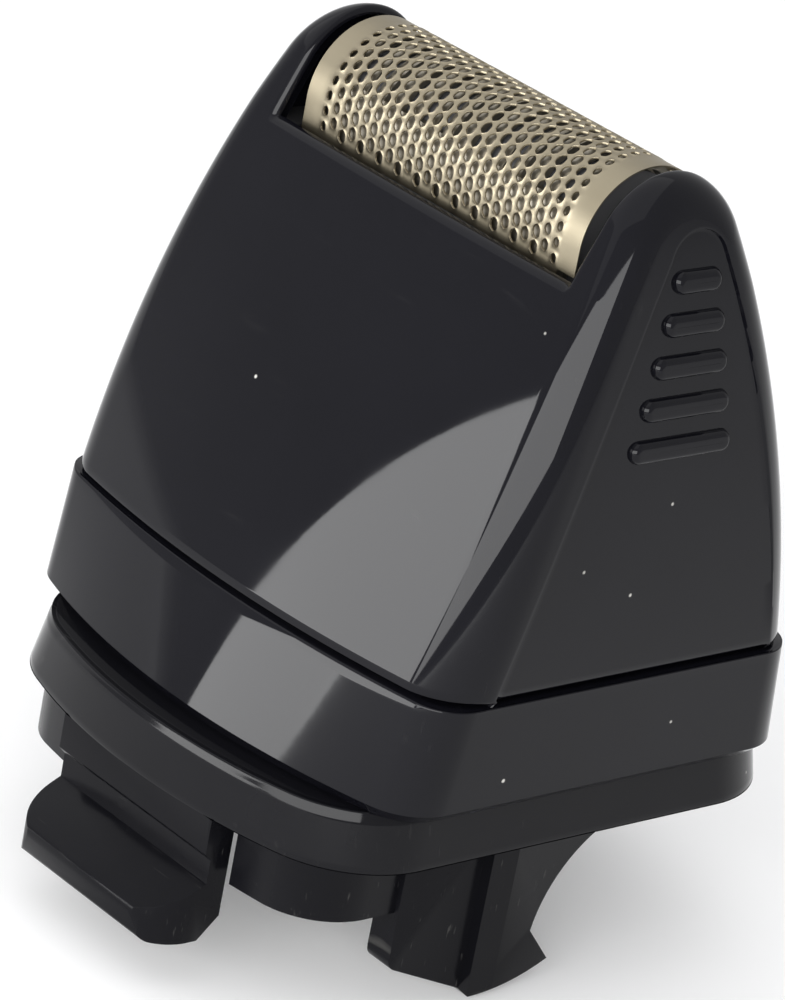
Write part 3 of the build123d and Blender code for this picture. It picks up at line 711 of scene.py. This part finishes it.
# Collar band and skirt, in millimetres: the outlines are given as half width, half depth, bulge, corner.
# The top profile holds rise and inset. A break holds a share of the height, an inset and, on the collar, a
# share between the outlines.
collarBand = {
    "bottom": (15.3, 12.6, 2.8, 3.2), "headBulge": 1.7, "headCorner": 2.4, "chamfer": 0.6, "seamGap": 0.3,
    "skin": 0.01, "stripDepth": 0.9, "lap": 0.01, "topProfile": ((0.01, 0.5), (0.01, 0.14), (-0.03, 0.04)),
    "topBreak": 0.09, "faceStart": 0.16, "faceSteps": 14, "chamferBreak": (0.93, 0.03, 0.09), "tuck": 1.6,
    "crispDegrees": 30,
}
baseSkirt = {
    "top": (13.7, 13.7, 3.1, 6.0), "flare": 0.5, "height": 3.1, "topRound": 0.3, "bottomRound": 0.1,
    "skin": 0.01, "stripDepth": 0.5, "bevel": 0.1, "lap": 0.01, "topTuck": 2.2, "bottomTuck": 0.5,
    "roundSteps": 6, "faceStart": 0.1, "faceSteps": 10, "bottomBreak": (0.3, 0.03), "crispDegrees": 40,
}
# Points on each stretch of a plan outline, and edge angles of the copied CAD nodes
planSteps = {"arc": 60, "corner": 25, "side": 21}
copiedNodes = {"bevelDegrees": 40, "crispDegrees": 22}


# Plan outline moved inwards by inset: front arc, rounded corner, side, corner and so on, as a closed ring
def planRing(halfWidth, halfDepth, bulge, corner, inset):
    radius = (halfWidth**2 + bulge**2) / (2 * bulge)
    arcY = -halfDepth - bulge + radius
    cornerX = halfWidth - corner
    cornerY = arcY - math.sqrt((radius - corner) ** 2 - cornerX**2)
    end = math.atan2(cornerX, arcY - cornerY)
    onArc = np.linspace(0, end, planSteps["arc"])[:-1]
    arc = np.stack([(radius - inset) * np.sin(onArc), arcY - (radius - inset) * np.cos(onArc)], -1)
    onCorner = np.linspace(end, math.pi / 2, planSteps["corner"])
    rounded = np.stack([cornerX + (corner - inset) * np.sin(onCorner),
                        cornerY - (corner - inset) * np.cos(onCorner)], -1)
    along = np.linspace(cornerY, 0, planSteps["side"])[1:]
    straight = np.stack([np.full_like(along, halfWidth - inset), along], -1)
    quarter = np.concatenate([arc, rounded, straight])
    half = np.concatenate([quarter, quarter[-2::-1] * (1, -1)])
    return np.concatenate([half, half[-2:0:-1] * (-1, 1)])


# Band round the object: for each row a height, an inset and a share between the lower and the upper outline
def bandMesh(name, lower, upper, rows):
    rings = []
    for height, inset, share in rows:
        plan = planRing(*lower, inset) * (1 - share) + planRing(*upper, inset) * share
        rings.append(np.column_stack([plan, np.full(len(plan), height)]))
    grid = np.stack(rings)
    closed = np.concatenate([grid, grid[:, :1]], 1)
    mesh = meshFromArrays(name, closed.reshape(-1, 3), gridQuads(*closed.shape[:2]))
    weld(mesh)
    return mesh


# Welded copy of a CAD node without the faces that a band covers, its sharp edges broken by a given width
def trimmedCopy(node, name, body, slotName, covered, bevelWidth):
    mesh = frame["nodes"][node].data.copy()
    mesh.name = name
    weld(mesh, 2e-6, outwards=False)
    under = covered(meshPoints(mesh))
    bm = bmesh.new()
    bm.from_mesh(mesh)
    hidden = [face for face in bm.faces if all(under[corner.index] for corner in face.verts)]
    bmesh.ops.delete(bm, geom=hidden, context="FACES")
    bm.to_mesh(mesh)
    bm.free()
    piece = addPiece(name, mesh, finishes[slotName], body, [node])
    if bevelWidth:
        bevelEdges(piece, bevelWidth, copiedNodes["bevelDegrees"])
    bakeModifiers(piece, copiedNodes["crispDegrees"])


# Distance in plan from a band that runs from a lower to an upper outline
def bandDistance(points, lower, upper, share):
    mix = share[:, None, None]
    ring = planRing(*lower, 0)[::2] * (1 - mix) + planRing(*upper, 0)[::2] * mix
    away = points[:, None, :2] - ring
    return np.hypot(away[..., 0], away[..., 1]).min(1)


# Band from its rounded top edge down the leaning face to the chamfer, and the rest of the collar within
def collarPieces():
    look = collarBand
    low = nodeBox("collar")[0][2]
    top = headBase - look["seamGap"]
    upper = (float(sideX(top)), headHalfDepth, look["headBulge"], look["headCorner"])
    out = -look["skin"]
    face = np.linspace(look["faceStart"], top - low - look["chamfer"], look["faceSteps"])
    breakHeight, breakInset, breakShare = look["chamferBreak"]
    rows = [(top + rise, inset, 1) for rise, inset in look["topProfile"]]
    rows += [(top - look["topBreak"], out, 1)]
    rows += [(top - drop, out, 1 - drop / (top - low)) for drop in face]
    rows += [(low + look["chamfer"] * breakHeight, breakInset, breakShare)]
    rows += [(low, look["chamfer"], 0), (low - look["lap"], look["tuck"], 0)]
    band = bandMesh("collarBand", look["bottom"], upper, rows)
    addPiece("collarBand", band, finishes["gloss_black"], "chassis", ["collar"])
    smoothMesh(band, look["crispDegrees"])

    def covered(points):
        share = ((points[:, 2] - low) / (top - low)).clip(0, 1)
        near = bandDistance(points, look["bottom"], upper, share)
        return (near < look["stripDepth"]) & (points[:, 2] < top + look["lap"])

    trimmedCopy("collar", "collarCore", "chassis", "gloss_black", covered, 0)


# Skirt band with a quarter circle at its top and a small round below, and the rest of the base
def basePieces():
    look = baseSkirt
    lower = (look["top"][0] + look["flare"], look["top"][1] + look["flare"], *look["top"][2:])
    out = -look["skin"]
    top = look["height"] + look["lap"]
    turn = np.linspace(0, math.pi / 2, look["roundSteps"])
    faceTop = look["height"] - look["topRound"] - look["faceStart"]
    breakShare, breakInset = look["bottomBreak"]
    rows = [(top, look["topTuck"], 1)]
    rows += [(top - look["topRound"] * (1 - math.cos(a)), look["topRound"] * (1 - math.sin(a)) + out, 1)
             for a in turn]
    rows += [(height, out, height / look["height"])
             for height in np.linspace(faceTop, look["bottomRound"], look["faceSteps"])]
    rows += [(look["bottomRound"] * breakShare, breakInset, 0), (0, look["bottomRound"], 0)]
    rows += [(-look["lap"], look["bottomTuck"], 0)]
    skirt = bandMesh("skirtBand", lower, look["top"], rows)
    addPiece("skirtBand", skirt, finishes["skirt_gloss"], "chassis", ["mounting_base"])
    smoothMesh(skirt, look["crispDegrees"])

    def covered(points):
        share = (points[:, 2] / look["height"]).clip(0, 1)
        near = bandDistance(points, lower, look["top"], share)
        return (near < look["stripDepth"]) & (points[:, 2] > -look["lap"]) & (points[:, 2] < top)

    trimmedCopy("mounting_base", "baseCore", "chassis", "satin_black", covered, look["bevel"])


collarPieces()
basePieces()
print("collar and base ready")

# Floor, world and lamps, in metres. Directions are degrees to the right of the front and above the horizon.
studio = {
    "floorColour": (0.86, 0.86, 0.86), "floorReach": 3.0, "floorGap": 0.0001, "floorGlow": 0.12,
    "worldColour": (0.64, 0.64, 0.65), "aim": (0, 0, 0.016),
}
lamps = {
    "overheadBox": {"azimuth": -50, "elevation": 66, "roll": 0, "distance": 1.2,
                    "size": (2.0, 2.0), "brightness": 0.5},
    "frontBox": {"azimuth": -26.5, "elevation": 1, "roll": -20, "distance": 0.8,
                 "size": (0.318, 0.288), "brightness": 9.5},
    "wideBox": {"azimuth": 23.5, "elevation": 17, "roll": 8, "distance": 0.8,
                "size": (1.2, 0.37), "brightness": 7.0},
}
floorMesh = bpy.data.meshes.new("floor")
reach = studio["floorReach"]
floorZ = cadBox[0][2] - studio["floorGap"]
floorCorners = [(x * reach, y * reach, floorZ) for x, y in ((-1, -1), (1, -1), (1, 1), (-1, 1))]
floorMesh.from_pydata(floorCorners, [], [(0, 1, 2, 3)])


# Pale paper that is lifted towards white for what looks at it directly or by reflection
def floorPaper():
    material = bpy.data.materials.new("floorPaper")
    material.use_nodes = True
    nodes, links = material.node_tree.nodes, material.node_tree.links
    shader = nodes["Principled BSDF"]
    shader.inputs["Base Color"].default_value = (*studio["floorColour"], 1)
    shader.inputs["Roughness"].default_value = 0.9
    shader.inputs["Specular IOR Level"].default_value = 0.1
    path = nodes.new("ShaderNodeLightPath")
    seen = nodes.new("ShaderNodeMath")
    seen.operation = "ADD"
    links.new(path.outputs["Is Camera Ray"], seen.inputs[0])
    links.new(path.outputs["Is Glossy Ray"], seen.inputs[1])
    through = nodes.new("ShaderNodeMath")
    through.operation = "MAXIMUM"
    links.new(seen.outputs["Value"], through.inputs[0])
    links.new(path.outputs["Is Transmission Ray"], through.inputs[1])
    glow = nodes.new("ShaderNodeMath")
    glow.operation = "MULTIPLY"
    glow.use_clamp = True
    glow.inputs[1].default_value = studio["floorGlow"]
    links.new(through.outputs["Value"], glow.inputs[0])
    shader.inputs["Emission Color"].default_value = (1, 1, 1, 1)
    links.new(glow.outputs["Value"], shader.inputs["Emission Strength"])
    return material


floorMesh.materials.append(floorPaper())
floor = bpy.data.objects.new("floor", floorMesh)
scene.collection.objects.link(floor)

world = bpy.data.worlds.new("studioWorld")
scene.world = world
world.use_nodes = True
world.node_tree.nodes["Background"].inputs["Color"].default_value = (*studio["worldColour"], 1)


# Unit vector from the object towards a direction in degrees
def towards(azimuth, elevation):
    across, above = math.radians(azimuth), math.radians(elevation)
    flat = math.cos(above)
    return Vector((math.sin(across) * flat, -math.cos(across) * flat, math.sin(above)))


# Rectangular lamp of even brightness in a direction and at a distance, turned to the head
def softbox(name, azimuth, elevation, roll, distance, size, brightness):
    middle = Vector(studio["aim"])
    place = middle + distance * towards(azimuth, elevation)
    lamp = bpy.data.lights.new(name, "AREA")
    lamp.shape = "RECTANGLE"
    lamp.size, lamp.size_y = size
    lamp.energy = brightness * math.pi * size[0] * size[1]
    holder = bpy.data.objects.new(name, lamp)
    aim = (middle - place).to_track_quat("-Z", "Y").to_matrix().to_4x4()
    holder.matrix_world = Matrix.Translation(place) @ aim @ Matrix.Rotation(math.radians(roll), 4, "Z")
    scene.collection.objects.link(holder)


for lampName, lampLook in lamps.items():
    softbox(lampName, **lampLook)
print("lamps:", len(lamps))

# Camera fitted to the photograph: place in metres, angles in degrees
photoCamera = {
    "place": (0.17747, -0.17433, 0.11585), "azimuth": 46.005, "elevation": 22.695, "roll": 10.917,
    "lens": 190.8, "sensor": 36, "clipStart": 0.01,
}
back = towards(photoCamera["azimuth"], photoCamera["elevation"])
level = towards(photoCamera["azimuth"] + 90, 0)
roll = math.radians(photoCamera["roll"])
upright = back.cross(level)
right = level * math.cos(roll) + upright * math.sin(roll)
up = back.cross(right)
cameraData = bpy.data.cameras.new("photoCamera")
cameraData.lens = photoCamera["lens"]
cameraData.sensor_width = photoCamera["sensor"]
cameraData.clip_start = photoCamera["clipStart"]
camera = bpy.data.objects.new("photoCamera", cameraData)
scene.collection.objects.link(camera)
turn = Matrix((right, up, back)).transposed().to_4x4()
camera.matrix_world = Matrix.Translation(photoCamera["place"]) @ turn
scene.camera = camera

print("scene ready")
